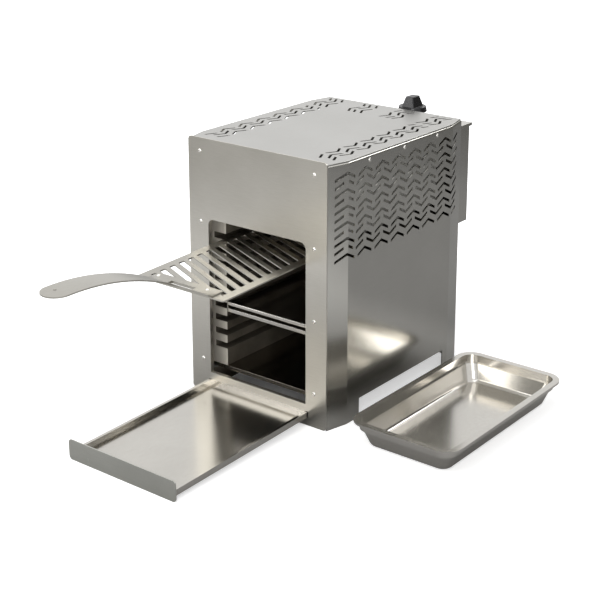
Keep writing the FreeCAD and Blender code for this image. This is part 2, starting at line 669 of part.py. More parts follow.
def tray_guide(name, side):
    """An angle that hangs from the chamber floor and follows the slope of the drip tray."""
    body = new_body(name)
    front = "guide_low + guide_start * tan(tray_slope)"
    rear = "guide_low + rack_rear * tan(tray_slope)"
    step = "floor_top - floor_lip - tray_sheet"
    web = sketch(body, "YZ", "-guide_half" if side < 0 else "guide_half - tray_sheet")
    polygon(web, [("guide_start", front), ("rack_rear", rear), ("rack_rear", "floor_top - floor_sheet"),
                  ("rack_front", "floor_top - floor_sheet"), ("rack_front", step), ("guide_start", step)])
    pad(body, web, "tray_sheet")
    foot = sketch(body, "YZ", "-guide_half" if side < 0 else "guide_half - guide_foot")
    polygon(foot, [("guide_start", front), ("rack_rear", rear), ("rack_rear", f"{rear} + tray_sheet"),
                   ("guide_start", f"{front} + tray_sheet")])
    pad(body, foot, "guide_foot")
    node(body, name)


# ---------------------------------------------------------------- burner

def burner():
    """Hood, plenum, ceramic tiles in their frame, and the straps that carry the plenum."""
    hood_rear = "rack_rear + comb_thick"
    body = new_body("burner_hood")
    block = sketch(body, "XY", "rack_top")
    rectangle(block, "-hood_half", "rack_front", "hood_half", hood_rear)
    pad(body, block, "hood_top - rack_top")
    hollow = sketch(body, "XY", "rack_top + hood_sheet")
    rectangle(hollow, "-(hood_half - hood_sheet)", "rack_front + hood_sheet", "hood_half - hood_sheet",
              f"{hood_rear} - hood_sheet")
    pocket(body, hollow, "hood_top - rack_top - 2 * hood_sheet")
    mouth = sketch(body, "XY", "rack_top")
    rectangle(mouth, "-hood_mouth / 2", "rack_front + hood_mouth_front", "hood_mouth / 2",
              "rack_rear - hood_mouth_rear")
    pocket(body, mouth, "hood_sheet")
    port = sketch(body, "XZ", "rack_rear")
    circle(port, "knob_x", "tube_axis", "tube_radius + slide_gap")
    pocket(body, port, "comb_thick")
    node(body, "burner_hood")

    low = "burner_front - tile_frame_wall - fit_gap"
    high = "burner_rear + tile_frame_wall + fit_gap"
    body = new_body("tile_frame")
    block = sketch(body, "XY", "tile_base - frame_foot")
    rectangle(block, "-tile_frame_half", low, "tile_frame_half", high)
    pad(body, block, "tile_thick + frame_foot")
    seat = sketch(body, "XY", "tile_base")
    rectangle(seat, "-(tile_width / 2 + fit_gap)", "burner_front - fit_gap", "tile_width / 2 + fit_gap",
              "burner_rear + fit_gap")
    pocket(body, seat, "tile_thick")
    windows = sketch(body, "XY", "tile_base - frame_foot")
    for start in ("burner_front", "burner_front + tile_length + tile_gap"):
        rectangle(windows, "-(tile_width / 2 - tile_ledge)", f"{start} + tile_ledge",
                  "tile_width / 2 - tile_ledge", f"{start} + tile_length - tile_ledge")
    pocket(body, windows, "frame_foot")
    node(body, "tile_frame")

    for index, name in enumerate(("ceramic_tile_front", "ceramic_tile_rear")):
        tile = box(name + "_slab", "-tile_width / 2", f"burner_front + {index} * (tile_length + tile_gap)",
                   "tile_base", "tile_width", "tile_length", "tile_thick")
        node(cut(name, tile, coded(name + "_waves", tile_waves(index), is_node=False)), name)

    body = new_body("burner_plenum")
    block = sketch(body, "XY", "plenum_base")
    rectangle(block, "-tile_frame_half", low, "tile_frame_half", high)
    pad(body, block, "plenum_height")
    round_edges(body, lambda e: runs_along(e, "z"), "tile_frame_wall")
    hollow = sketch(body, "XY", "plenum_base")
    rectangle(hollow, "-(tile_frame_half - plenum_sheet)", f"{low} + plenum_sheet",
              "tile_frame_half - plenum_sheet", f"{high} - plenum_sheet")
    pocket(body, hollow, "plenum_height - plenum_sheet")
    port = sketch(body, "XZ", "burner_rear")
    circle(port, "knob_x", "tube_axis", "tube_radius - tube_wall")
    pocket(body, port, "2 * tile_frame_wall")
    node(body, "burner_plenum")

    wall = "(hood_half - hood_sheet)"
    inner = f"({wall} - bracket_thick)"
    for name, start in (("burner_bracket_front", "burner_front + bracket_inset"),
                        ("burner_bracket_rear", "burner_rear - bracket_inset - bracket_width")):
        body = new_body(name)
        strap = sketch(body, "XZ", start)
        floor = "plenum_top + bracket_thick"
        top = "plenum_top + bracket_width"
        polygon(strap, [(f"-{wall}", "plenum_top"), (wall, "plenum_top"), (wall, top), (inner, top),
                        (inner, floor), (f"-{inner}", floor), (f"-{inner}", top), (f"-{wall}", top)])
        pad(body, strap, "bracket_width")
        node(body, name)


def tile_waves(index):
    """Shallow grooves across the glowing face of a tile."""
    start = V["burner_front"] + index * (V["tile_length"] + V["tile_gap"])
    pitch = V["tile_length"] / 8
    edge = V["tile_groove_edge"]
    bars = []
    for i in range(1, 8):
        bar = Part.makeBox(V["tile_width"] - 2 * edge, pitch / 3, V["tile_groove"])
        bar.translate(vector(-V["tile_width"] / 2 + edge, start + (i - 1 / 6) * pitch, V["tile_base"]))
        bars.append(bar)
    return Part.makeCompound(bars)


def tube():
    """Venturi: a straight tube with a throat and a flared mouth at the injector."""
    start = V["burner_rear"] + V["tile_frame_wall"] + V["fit_gap"]
    end = V["tube_end"]
    radius = V["tube_radius"]
    throat = end - V["tube_flare"]
    outer = [(radius, start), (radius, throat - V["tube_neck"]), (radius - V["tube_throat"], throat),
             (V["tube_mouth"], end)]
    inner = [(r - V["tube_wall"], y) for r, y in reversed(outer)]
    points = [vector(r, y, 0) for r, y in outer + inner]
    profile = Part.Face(Part.makePolygon(points + points[:1]))
    solid = profile.revolve(vector(0, 0, 0), vector(0, 1, 0), 360)
    solid.translate(vector(V["knob_x"], 0, V["tube_axis"]))
    coded("mixing_tube", solid)


def probe(name, side, tip_rise):
    """A rod in the chamber's back wall with a collar behind it and a thin tip below the tile."""
    rear = V["rack_rear"] + V["comb_thick"]
    front = rear - V["probe_length"]
    radius = V["probe_radius"]
    centre = vector(side * V["probe_side"], 0, V["probe_height"])
    back = vector(0, 1, 0)
    body = Part.makeCylinder(radius, V["probe_length"] + V["probe_tail"], centre + back * front, back)
    collar_radius = radius + V["probe_collar"]
    collar = Part.makeCylinder(collar_radius, V["probe_collar_length"], centre + back * rear, back)
    tip = V["probe_rod"]
    reach = front - V["probe_reach"]
    rod = Part.makeCylinder(tip, V["probe_reach"], centre + back * reach, back)
    end = Part.makeSphere(tip, centre + back * reach)
    rise = Part.makeCylinder(tip, tip_rise, centre + back * reach, vector(0, 0, 1))
    coded(name, body.multiFuse([collar, rod, end, rise]).removeSplitter())


# ---------------------------------------------------------------- gas valve and knob

def hexagon(label, x, y, z, radius, height, turn=0):
    """A hexagonal nut; turned about X by -90 degrees it runs towards +Y."""
    made = doc.addObject("Part::Prism", label)
    made.Polygon = 6
    made.setExpression("Circumradius", q(radius))
    made.setExpression("Height", q(height))
    made.Placement.Rotation = FreeCAD.Rotation(vector(1, 0, 0), turn)
    for name, rule in zip("xyz", (x, y, z)):
        made.setExpression(f"Placement.Base.{name}", q(rule))
    return made


def gas_train():
    """Valve body with its bonnet, the injector, the gas inlet, and the spindle with its collar."""
    block = box("valve_block_box", "knob_x - valve_block / 2", "valve_front", "valve_low",
                "valve_block", "valve_block", "valve_top - valve_low")
    bonnet = cylinder("valve_bonnet", "knob_x", "knob_y", "valve_top", "bonnet_radius",
                      "bonnet_top - valve_top")
    whole = fuse("valve_whole", [block, bonnet])
    bore = cylinder("valve_bore", "knob_x", "knob_y", "bonnet_top - stem_depth", "stem_radius + slide_gap",
                    "stem_depth + slide_gap")
    node(cut("gas_valve", whole, bore), "gas_valve")

    jet_start = "tube_end + tube_play"
    jet = cylinder("jet_body", "knob_x", jet_start, "tube_axis", "injector_radius",
                   f"valve_front - ({jet_start})", "y")
    jet_nut = hexagon("jet_nut", "knob_x", "valve_front - 1.5 * injector_nut", "tube_axis",
                      "injector_radius + injector_rim", "injector_nut", -90)
    orifice = cylinder("jet_orifice", "knob_x", "tube_end + tube_play / 2", "tube_axis", "injector_bore",
                       "valve_front - tube_end", "y")
    node(cut("injector", fuse("jet_whole", [jet, jet_nut]), orifice), "injector")

    thread_low = "cover_low - inlet_length"
    thread_top = f"({thread_low} + thread_length)"
    nut_low = f"({thread_top} + relief_length)"
    nut_radius = "inlet_radius + nut_rim"
    inlet = [
        cylinder("inlet_thread", "knob_x", "knob_y", thread_low, "inlet_radius", "thread_length"),
        cylinder("inlet_relief", "knob_x", "knob_y", thread_top, "inlet_radius - relief_depth",
                 "relief_length"),
        hexagon("inlet_nut", "knob_x", "knob_y", nut_low, nut_radius, "nut_height"),
        cylinder("inlet_pipe", "knob_x", "knob_y", f"{nut_low} + nut_height", "pipe_radius",
                 f"valve_low - {nut_low} - nut_height"),
        hexagon("valve_nut", "knob_x", "knob_y", "valve_low - nut_height", nut_radius, "nut_height"),
    ]
    bore = cylinder("inlet_bore", "knob_x", "knob_y", f"{thread_low} - slide_gap", "pipe_bore",
                    f"valve_low - ({thread_low})")
    node(cut("gas_inlet", fuse("inlet_whole", inlet), bore), "gas_inlet")

    outer = cylinder("collar_outer", "knob_x", "knob_y", "collar_base", "collar_radius", "collar_height")
    hole = cylinder("collar_hole", "knob_x", "knob_y", "collar_base - slide_gap", "stem_radius + slide_gap",
                    "collar_height + 2 * slide_gap")
    node(cut("thrust_collar", outer, hole), "thrust_collar")

    shaft = cylinder("stem_shaft", "knob_x", "knob_y", "stem_low", "stem_radius",
                     "knob_base + stem_reach - stem_low")
    flat = box("stem_flat", "knob_x - stem_radius", "knob_y + stem_radius / 2", "knob_base",
               "2 * stem_radius", "stem_radius", "stem_reach + slide_gap")
    node(cut("valve_stem", shaft, flat), "valve_stem")


def knob():
    """Skirted knob with a tapered grip bar; its socket is keyed to the flat on the stem."""
    base = V["knob_base"]
    centre = vector(V["knob_x"], V["knob_y"], base)
    radius = V["skirt_radius"]
    deck = V["skirt_height"]
    skirt = Part.makeCone(radius, radius - V["skirt_taper"], deck, centre)

    def outline(inset, height):
        x = V["grip_width"] / 2 - inset
        y = V["grip_length"] / 2 - inset
        points = [centre + vector(*corner, height) for corner in ((-x, -y), (x, -y), (x, y), (-x, y))]
        return Part.makePolygon(points + points[:1])

    foot = outline(0, deck - 1)
    crown = outline(V["grip_draft"], deck + V["grip_height"])
    grip = Part.makeLoft([foot, crown], True, True)
    whole = skirt.fuse(grip).removeSplitter()
    seam = base + deck
    sharp = [e for e in whole.Edges if e.BoundBox.ZMax > seam + 0.5 and e.BoundBox.ZMin > seam - 0.5]
    whole = whole.makeFillet(V["grip_edge"], sharp)
    inner = radius - V["skirt_wall"]
    hollow = Part.makeCone(inner, inner - V["skirt_taper"], V["knob_hollow"], centre)
    depth = V["stem_reach"] + V["key_gap"]
    bore = V["stem_radius"] + V["key_gap"]
    stem = Part.makeCylinder(bore, depth, centre)
    flat = Part.makeBox(2 * bore, bore, depth)
    flat.translate(centre + vector(-bore, V["stem_radius"] / 2 + V["key_gap"], 0))
    coded("control_knob", whole.cut(hollow).cut(stem.cut(flat)))


def valve_cover():
    body = new_body("valve_cover")
    block = sketch(body, "XY", "cover_low")
    rectangle(block, "-cover_half", "casing_depth", "cover_half", "cover_rear")
    pad(body, block, "cover_top - cover_low")
    lid = sketch(body, "XY", "cover_top - lid_height")
    rectangle(lid, "-(cover_half + cover_lip)", "casing_depth", "cover_half + cover_lip",
              "cover_rear + cover_lip")
    pad(body, lid, "lid_height")
    hollow = sketch(body, "XY", "cover_low + cover_sheet")
    rectangle(hollow, "-(cover_half - cover_sheet)", "casing_depth", "cover_half - cover_sheet",
              "cover_rear - cover_sheet")
    pocket(body, hollow, "cover_top - cover_low - 2 * cover_sheet")
    port = sketch(body, "XY", "cover_low")
    circle(port, "knob_x", "knob_y", "pipe_radius + slide_gap")
    pocket(body, port, "cover_sheet")
    top = sketch(body, "XY", "cover_top - cover_sheet")
    circle(top, "knob_x", "knob_y", "bonnet_radius + fit_gap")
    pocket(body, top, "cover_sheet")
    node(body, "valve_cover")


# ---------------------------------------------------------------- drip tray

def tray_node(body, label):
    """The tray lies on a slope: its own frame starts under its floor at the front plate."""
    node(body, label)
    body.Placement.Rotation = FreeCAD.Rotation(vector(1, 0, 0), 1)
    body.setExpression("Placement.Rotation.Angle", q("tray_slope"))
    body.setExpression("Placement.Base.z", q("tray_pivot"))


def drip_tray():
    body = new_body("drip_tray")
    half = "tray_width / 2"
    hem = f"({half} - tray_hem)"
    wall = f"({half} - tray_sheet)"
    under = "tray_height - tray_sheet"
    section = sketch(body, "XZ", "-tray_reach")
    polygon(section, [(f"-{half}", "0"), (half, "0"), (half, "tray_height"), (hem, "tray_height"),
                      (hem, under), (wall, under), (wall, "tray_sheet"), (f"-{wall}", "tray_sheet"),
                      (f"-{wall}", under), (f"-{hem}", under), (f"-{hem}", "tray_height"),
                      (f"-{half}", "tray_height")])
    pad(body, section, "tray_reach + tray_tail")
    inner = f"({half} - tray_sheet / 2)"
    for start in ("tray_tail - tray_sheet", "-tray_reach"):
        end = sketch(body, "XZ", start)
        rectangle(end, f"-{inner}", "tray_sheet / 2", inner, "tray_height")
        pad(body, end, "tray_sheet")
    holes = sketch(body, "XZ", "-tray_reach")
    for side in ("-", ""):
        circle(holes, f"{side}tray_width / 3", "tray_height / 2", "rivet_shank + fit_gap")
    pocket(body, holes, "tray_sheet")
    tray_node(body, "drip_tray")

    body = new_body("tray_front")
    panel = sketch(body, "XZ", "-tray_reach - tray_panel_thick")
    rectangle(panel, "-tray_panel_width / 2", "-tray_drop", "tray_panel_width / 2",
              "tray_panel_height - tray_drop")
    pad(body, panel, "tray_panel_thick")
    round_edges(body, lambda e: runs_along(e, "y"), "tray_panel_corner")
    holes = sketch(body, "XZ", "-tray_reach - tray_panel_thick")
    for side in ("-", ""):
        circle(holes, f"{side}tray_width / 3", "tray_height / 2", "rivet_shank + fit_gap")
    pocket(body, holes, "tray_panel_thick")
    tray_node(body, "tray_front")

    grip = V["tray_panel_thick"] + V["tray_sheet"]
    start = -V["tray_reach"] - V["tray_panel_thick"]
    height = V["tray_height"] / 2
    pair = [flush_rivet(vector(side * V["tray_width"] / 3, start, height), grip) for side in (-1, 1)]
    thing = coded("tray_rivets", Part.makeCompound(pair), is_node=False)
    tray_node(thing, "tray_rivets")


def flush_rivet(start, grip):
    """A rivet ground flush with the outer face, with its tail inside."""
    shank = Part.makeCylinder(V["rivet_shank"], grip, start, vector(0, 1, 0))
    back = vector(0, 1, 0)
    tail = Part.makeCylinder(V["rivet_head"] * 3 / 4, V["rivet_tail"], start + back * grip, back)
    return shank.fuse(tail).removeSplitter()


# ---------------------------------------------------------------- grate, handle and shelf

def tilted(shape):
    """The shape turned about the comb's front edge, on which the grate rests."""
    shape.rotate(vector(0, V["comb_front"], V["grate_base"]), vector(1, 0, 0), V["grate_slope"])
    return shape


def grate():
    """A flat plate with slanted slots that end square against its border."""
    half = V["grate_width"] / 2
    front = -V["grate_out"]
    rear = front + V["grate_length"]
    low = V["grate_base"]
    border = V["grate_border"]
    thick = V["grate_thick"]
    plate = Part.makeBox(V["grate_width"], V["grate_length"], thick)
    plate.translate(vector(-half, front, low))
    plate = plate.makeFillet(V["grate_corner"], [e for e in plate.Edges if runs_along(e, "z")])
    field = Part.makeBox(V["grate_width"] - 2 * border, V["grate_length"] - 2 * border, 3 * thick)
    field.translate(vector(border - half, front + border, low - thick))
    slant = math.tan(math.radians(V["grate_angle"]))
    across = math.cos(math.radians(V["grate_angle"]))
    step = V["grate_pitch"] / across
    width = V["grate_slot"] / across
    drop = half * slant
    slots = []
    middle = front - drop
    while middle - drop < rear:
        corners = [vector(-half, middle + drop, low - thick), vector(half, middle - drop, low - thick),
                   vector(half, middle - drop + width, low - thick),
                   vector(-half, middle + drop + width, low - thick)]
        slot = Part.Face(Part.makePolygon(corners + corners[:1])).extrude(vector(0, 0, 3 * thick))
        for piece in slot.common(field).Solids:
            upright = [e for e in piece.Edges if runs_along(e, "z")]
            shortest = min(e.Length for e in piece.Edges if e.BoundBox.ZLength < thick)
            if shortest > V["slot_corner"]:
                slots.append(piece.makeFillet(min(V["slot_corner"], shortest / 8), upright))
        middle += step
    holes = rivet_bores(low - thick, 3 * thick) + [handle_window(low - thick, 3 * thick)]
    coded("grate", tilted(plate.cut(Part.makeCompound(slots)).cut(Part.makeCompound(holes))))


def handle_rivet_points(z):
    """The two rivets through the handle's foot and the grate's front border."""
    y = V["foot_rivet_back"] - V["grate_out"]
    return [vector(x, y, z) for x in (-V["foot_rivet_left"], V["foot_rivet_right"])]


def rivet_bores(z, height):
    radius = V["rivet_shank"] + V["fit_gap"]
    return [Part.makeCylinder(radius, height, point) for point in handle_rivet_points(z)]


def handle_window(z, height):
    """The slot through the handle's foot and the grate's border under it."""
    width = V["window_left"] + V["window_right"]
    window = Part.makeBox(width, V["window_rear"] - V["window_front"], height)
    window.translate(vector(-V["window_left"], V["window_front"] - V["grate_out"], z))
    return window


def grate_handle():
    """A strip that rises from its foot on the grate and arches over to level at its tip."""
    seat = V["grate_base"] + V["grate_thick"]
    front = -V["grate_out"]
    back = front + V["handle_seat"]
    tip = front - V["handle_reach"]
    run = V["handle_reach"] - V["handle_level"]
    angle = 2 * math.atan(V["handle_rise"] / (run + V["handle_ramp"]))
    radius = (run * math.tan(angle) - V["handle_rise"]) / (1 / math.cos(angle) - 1)
    level = front - run
    top = seat + V["handle_rise"]
    thick = V["handle_thick"]

    def on_arch(turn, lift):
        """A point of the arch, where its slope has the given angle."""
        reach = radius + lift
        return vector(0, level + reach * math.sin(turn), top - radius + reach * math.cos(turn))

    kink = vector(0, thick * math.tan(angle / 2), thick)
    lower = [vector(0, back, seat), vector(0, front, seat), on_arch(angle, 0), on_arch(0, 0),
             vector(0, tip, top)]
    upper = [vector(0, back, seat + thick), lower[1] + kink, on_arch(angle, thick), on_arch(0, thick),
             vector(0, tip, top + thick)]
    under_arch = Part.Arc(lower[2], on_arch(angle / 2, 0), lower[3]).toShape()
    over_arch = Part.Arc(upper[3], on_arch(angle / 2, thick), upper[2]).toShape()
    straight = [(lower[0], lower[1]), (lower[1], lower[2]), (lower[3], lower[4]), (lower[4], upper[4]),
                (upper[4], upper[3]), (upper[2], upper[1]), (upper[1], upper[0]), (upper[0], lower[0])]
    lines = [Part.makeLine(a, b) for a, b in straight]
    edges = lines[:2] + [under_arch] + lines[2:5] + [over_arch] + lines[5:]
    half_foot = V["handle_foot"] / 2
    profile = Part.Face(Part.Wire(edges)).extrude(vector(2 * half_foot, 0, 0))
    profile.translate(vector(-half_foot, 0, 0))

    half = V["handle_width"] / 2
    neck = front - V["handle_neck"]
    start = front - V["neck_start"]
    end = tip + V["handle_end"]
    strip_bend = front - V["neck_strip"]
    foot_bend = front - V["neck_foot"]
    right = Part.BezierCurve()
    right.setPoles([vector(half_foot, start, 0), vector(half_foot, foot_bend, 0),
                    vector(half, strip_bend, 0), vector(half, neck, 0)])
    left = Part.BezierCurve()
    left.setPoles([vector(-half, neck, 0), vector(-half, strip_bend, 0),
                   vector(-half_foot, foot_bend, 0), vector(-half_foot, start, 0)])
    outline = [
        Part.makeLine(vector(-half_foot, back, 0), vector(half_foot, back, 0)),
        Part.makeLine(vector(half_foot, back, 0), vector(half_foot, start, 0)), right.toShape(),
        Part.makeLine(vector(half, neck, 0), vector(half, end, 0)),
        Part.Arc(vector(half, end, 0), vector(0, tip, 0), vector(-half, end, 0)).toShape(),
        Part.makeLine(vector(-half, end, 0), vector(-half, neck, 0)), left.toShape(),
        Part.makeLine(vector(-half_foot, start, 0), vector(-half_foot, back, 0)),
    ]
    height = V["handle_rise"] + 3 * thick
    plan = Part.Face(Part.Wire(outline)).extrude(vector(0, 0, height))
    plan.translate(vector(0, 0, seat - thick))
    hang_point = vector(-V["hang_side"], tip + V["hang_from_tip"], seat)
    holes = [Part.makeCylinder(V["hang_radius"], height, hang_point), handle_window(seat - thick, height)]
    holes += rivet_bores(seat - thick, 3 * thick)
    coded("grate_handle", tilted(profile.common(plan).cut(Part.makeCompound(holes))))

    grip = V["grate_thick"] + thick
    pair = [rivet(point, vector(0, 0, -1), grip) for point in handle_rivet_points(seat + thick)]
    coded("handle_rivets", tilted(Part.makeCompound(pair)))


def shelf():
    """A sheet in one pair of grooves with an apron, two side cheeks and a bar between them."""
    body = new_body("shelf_tray")
    base = sketch(body, "XY", "shelf_base")
    rectangle(base, "-shelf_width / 2", "shelf_front + shelf_tongue", "shelf_width / 2", "shelf_rear")
    pad(body, base, "shelf_sheet")
    tongue = sketch(body, "XY", "shelf_base")
    rectangle(tongue, "-shelf_edge", "shelf_front", "shelf_edge", "shelf_front + shelf_tongue")
    pad(body, tongue, "shelf_sheet")
    apron = sketch(body, "XZ", "shelf_front")
    rectangle(apron, "-shelf_edge", "shelf_base - apron_drop", "shelf_edge", "shelf_base + shelf_sheet")
    pad(body, apron, "shelf_sheet")
    for side in (-1, 1):
        cheek = sketch(body, "YZ", "-shelf_edge" if side < 0 else "shelf_edge - shelf_sheet")
        rectangle(cheek, "shelf_front", "shelf_base", "shelf_front + shelf_tongue",
                  "rail_base + rail_height")
        pad(body, cheek, "shelf_sheet")
    node(body, "shelf_tray")

    body = new_body("shelf_rail")
    bar = sketch(body, "YZ", "-(shelf_edge - shelf_sheet)")
    rectangle(bar, "shelf_front - rail_proud", "rail_base", "shelf_front + shelf_sheet + rail_proud",
              "rail_base + rail_height")
    pad(body, bar, "2 * (shelf_edge - shelf_sheet)")
    round_edges(body, lambda e: runs_along(e, "x"), "shelf_sheet")
    node(body, "shelf_rail")


# ---------------------------------------------------------------- gastronorm pan

def rounded_plan(inset, height, radius):
    """A rounded rectangle of the pan's plan, drawn in by inset, at a height."""
    x = V["pan_width"] / 2 - inset
    y = V["pan_length"] / 2 - inset
    corners = [vector(-x, -y, 0), vector(x, -y, 0), vector(x, y, 0), vector(-x, y, 0)]
    plate = Part.Face(Part.makePolygon(corners + corners[:1])).extrude(vector(0, 0, 1))
    plate = plate.makeFillet(radius, [e for e in plate.Edges if runs_along(e, "z")])
    outline = [f for f in plate.Faces if abs(f.CenterOfMass.z) < 1e-6][0].OuterWire
    outline.translate(vector(0, 0, height))
    return outline


def pan_form(wall):
    """The pan's body drawn in by the wall: drafted sides, then a straight stacking shoulder."""
    shoulder = V["pan_height"] - V["pan_shoulder"]
    rim = V["pan_rim"]
    step = rim + V["pan_step"]
    corner = V["pan_corner"]
    low = rounded_plan(step + V["pan_draft"] + wall, wall, corner - step)
    high = rounded_plan(step + wall, shoulder, corner - step)
    lower = Part.makeLoft([low, high], True, True)
    bottom = [e for e in lower.Edges if abs(e.BoundBox.ZMax - wall) < 1e-3]
    lower = lower.makeFillet(V["pan_base_radius"] - wall, bottom)
    upper = Part.Face(rounded_plan(rim + wall, shoulder - 2 + wall, corner - rim - wall))
    return lower.fuse(upper.extrude(vector(0, 0, V["pan_shoulder"] + 2 - wall))).removeSplitter()


def gn_pan():
    wall = V["pan_sheet"]
    height = V["pan_height"]
    rim = Part.Face(rounded_plan(0, height - wall, V["pan_corner"])).extrude(vector(0, 0, wall))
    drop = V["pan_rim_drop"]
    hem = Part.Face(rounded_plan(0, height - drop, V["pan_corner"])).extrude(vector(0, 0, drop))
    hem_hole = Part.Face(rounded_plan(wall, height - drop, V["pan_corner"] - wall))
    hem = hem.cut(hem_hole.extrude(vector(0, 0, drop - wall)))
    inner = pan_form(wall)
    mouth = Part.Face(rounded_plan(V["pan_rim"] + wall, height - 2, V["pan_corner"] - V["pan_rim"] - wall))
    solid = pan_form(0).fuse([rim, hem]).cut(inner).cut(mouth.extrude(vector(0, 0, 4))).removeSplitter()
    solid.translate(vector(V["pan_x"], V["pan_y"], 0))
    coded("gn_pan", solid)


# ---------------------------------------------------------------- build

front_plate()
front_frame()
rivets()
side_panel("side_panel_left", -1)
side_panel("side_panel_right", 1)
roof_panel()
rear_plate()
comb_frame()
rack("rack_left", -1)
rack("rack_right", 1)
chamber_shell()
tray_guide("tray_guide_left", -1)
tray_guide("tray_guide_right", 1)
burner()
tube()
probe("ignition_electrode", 1, 4.0)
probe("thermocouple", -1, 3.0)
gas_train()
knob()
valve_cover()
drip_tray()
grate()
grate_handle()
shelf()
gn_pan()
doc.recompute()

for item in doc.Objects:
    if "Invalid" in item.State or "Error" in item.State:
        raise RuntimeError(f"{item.Label} did not build: {item.State}")
for item in NODES:
    if item.Shape.isNull() or not item.Shape.isValid():
        raise RuntimeError(f"{item.Label} is not a valid shape")

os.makedirs("parts", exist_ok=True)
for item in NODES:
    item.Shape.exportStep(f"parts/{item.Label}.step")
    bounds = item.Shape.BoundBox
    print(f"{item.Label:24s} solids {len(item.Shape.Solids)}  x {bounds.XMin:7.1f}..{bounds.XMax:7.1f}  "
          f"y {bounds.YMin:7.1f}..{bounds.YMax:7.1f}  z {bounds.ZMin:7.1f}..{bounds.ZMax:7.1f}")
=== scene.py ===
import json
import math

import bmesh
import bpy
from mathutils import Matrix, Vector


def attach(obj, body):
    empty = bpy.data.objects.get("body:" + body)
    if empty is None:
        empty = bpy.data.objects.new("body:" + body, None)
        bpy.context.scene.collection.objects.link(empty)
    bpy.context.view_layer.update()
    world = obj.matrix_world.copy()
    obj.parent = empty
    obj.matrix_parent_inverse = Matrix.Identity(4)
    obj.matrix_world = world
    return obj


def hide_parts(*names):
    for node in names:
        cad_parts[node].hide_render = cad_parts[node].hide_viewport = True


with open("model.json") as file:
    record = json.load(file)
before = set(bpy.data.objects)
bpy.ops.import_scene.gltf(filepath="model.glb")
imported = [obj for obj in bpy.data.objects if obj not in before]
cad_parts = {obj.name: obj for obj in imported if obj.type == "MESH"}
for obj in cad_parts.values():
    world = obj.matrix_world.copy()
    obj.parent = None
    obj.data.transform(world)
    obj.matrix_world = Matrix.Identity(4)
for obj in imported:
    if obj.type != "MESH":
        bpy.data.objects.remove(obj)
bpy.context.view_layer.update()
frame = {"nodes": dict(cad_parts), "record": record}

# Overhead gas grill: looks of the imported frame. Metres, Z up, front towards -Y.

MM = 0.001

# ---------------------------------------------------------------- small helpers


def linear(code):
    """An sRGB hex colour as linear RGBA."""
    parts = [int(code[i:i + 2], 16) / 255 for i in (1, 3, 5)]
    return tuple(c / 12.92 if c <= 0.04045 else ((c + 0.055) / 1.055) ** 2.4 for c in parts) + (1.0,)


def add(tree, kind, settings=None, **links):
    """Add a shader node: settings are its properties, links are socket values or other sockets."""
    made = tree.nodes.new(kind)
    for name, value in (settings or {}).items():
        setattr(made, name, value)
    for name, value in links.items():
        socket = made.inputs[int(name[1:])] if name[1:].isdigit() else made.inputs[name.replace("_", " ")]
        if isinstance(value, bpy.types.NodeSocket):
            tree.links.new(value, socket)
        else:
            socket.default_value = value
    return made


def new_material(name, **constants):
    """A Principled material; constants are values set straight on the shader's sockets."""
    made = bpy.data.materials.new(name)
    made.use_nodes = True
    shader = made.node_tree.nodes["Principled BSDF"]
    for key, value in constants.items():
        shader.inputs[key.replace("_", " ")].default_value = value
    return made, made.node_tree, shader


def object_pattern(tree, stretch=(1, 1, 1)):
    """Object coordinates through a mapping, for patterns that follow the piece."""
    place = add(tree, "ShaderNodeTexCoord")
    return add(tree, "ShaderNodeMapping", Vector=place.outputs["Object"], Scale=stretch).outputs[0]


# ---------------------------------------------------------------- materials

# Grain in noise cells per metre along x, y and z, with few of them the way that a belt ran.
BELT_ACROSS = (18, 400, 400)
BELT_BACKWARDS = (400, 18, 400)
ROOF_BELT = (400, 14, 400)
GRATE_BELT = (300, 20, 300)
UPRIGHT_BELT = (300, 300, 20)
RIVET_SPECKLE = (200, 200, 200)
PAN_POLISH = (60, 60, 60)
LATHE_RINGS = (30, 30, 900)

SCRATCHES_PER_CELL = 4.0
SCRATCH_SHARE = 0.45        # of the tone and the roughness; the rest is soft clouds
SCRATCH_DEPTH = 0.4 * MM
PEEL_DEPTH = 0.3 * MM
PORT_PITCH = 2.5 * MM       # flame ports in the burner's tiles


def brushed_stainless(name, base, dark, roughness, grain, smear=0.04, relief=0.02, metal=1.0):
    """AISI 304 sheet with a ground finish: fine parallel scratches stretch every highlight.

    Real scratches are about 0.05 mm apart. They are drawn 0.6 mm apart, coarse enough to show.
    """
    material, tree, shader = new_material(name, Metallic=metal)
    lines = add(tree, "ShaderNodeTexNoise", Vector=object_pattern(tree, grain),
                Scale=SCRATCHES_PER_CELL, Detail=3.0)
    cloud = add(tree, "ShaderNodeTexNoise", Vector=object_pattern(tree), Scale=9.0, Detail=2.0)
    scratched = add(tree, "ShaderNodeMath", {"operation": "MULTIPLY"}, _0=lines.outputs[0],
                    _1=SCRATCH_SHARE)
    both = add(tree, "ShaderNodeMath", {"operation": "MULTIPLY_ADD"}, _0=cloud.outputs[0],
               _1=1 - SCRATCH_SHARE, _2=scratched.outputs[0])
    ramp = add(tree, "ShaderNodeValToRGB", Fac=both.outputs[0])
    ramp.color_ramp.elements[0].position = 0.3
    ramp.color_ramp.elements[0].color = linear(dark)
    ramp.color_ramp.elements[1].position = 0.7
    ramp.color_ramp.elements[1].color = linear(base)
    tree.links.new(ramp.outputs[0], shader.inputs["Base Color"])
    rough = add(tree, "ShaderNodeMapRange", Value=both.outputs[0], To_Min=roughness - smear,
                To_Max=roughness + smear)
    tree.links.new(rough.outputs[0], shader.inputs["Roughness"])
    bump = add(tree, "ShaderNodeBump", Strength=relief, Distance=SCRATCH_DEPTH, Height=lines.outputs[0])
    tree.links.new(bump.outputs[0], shader.inputs["Normal"])
    return material


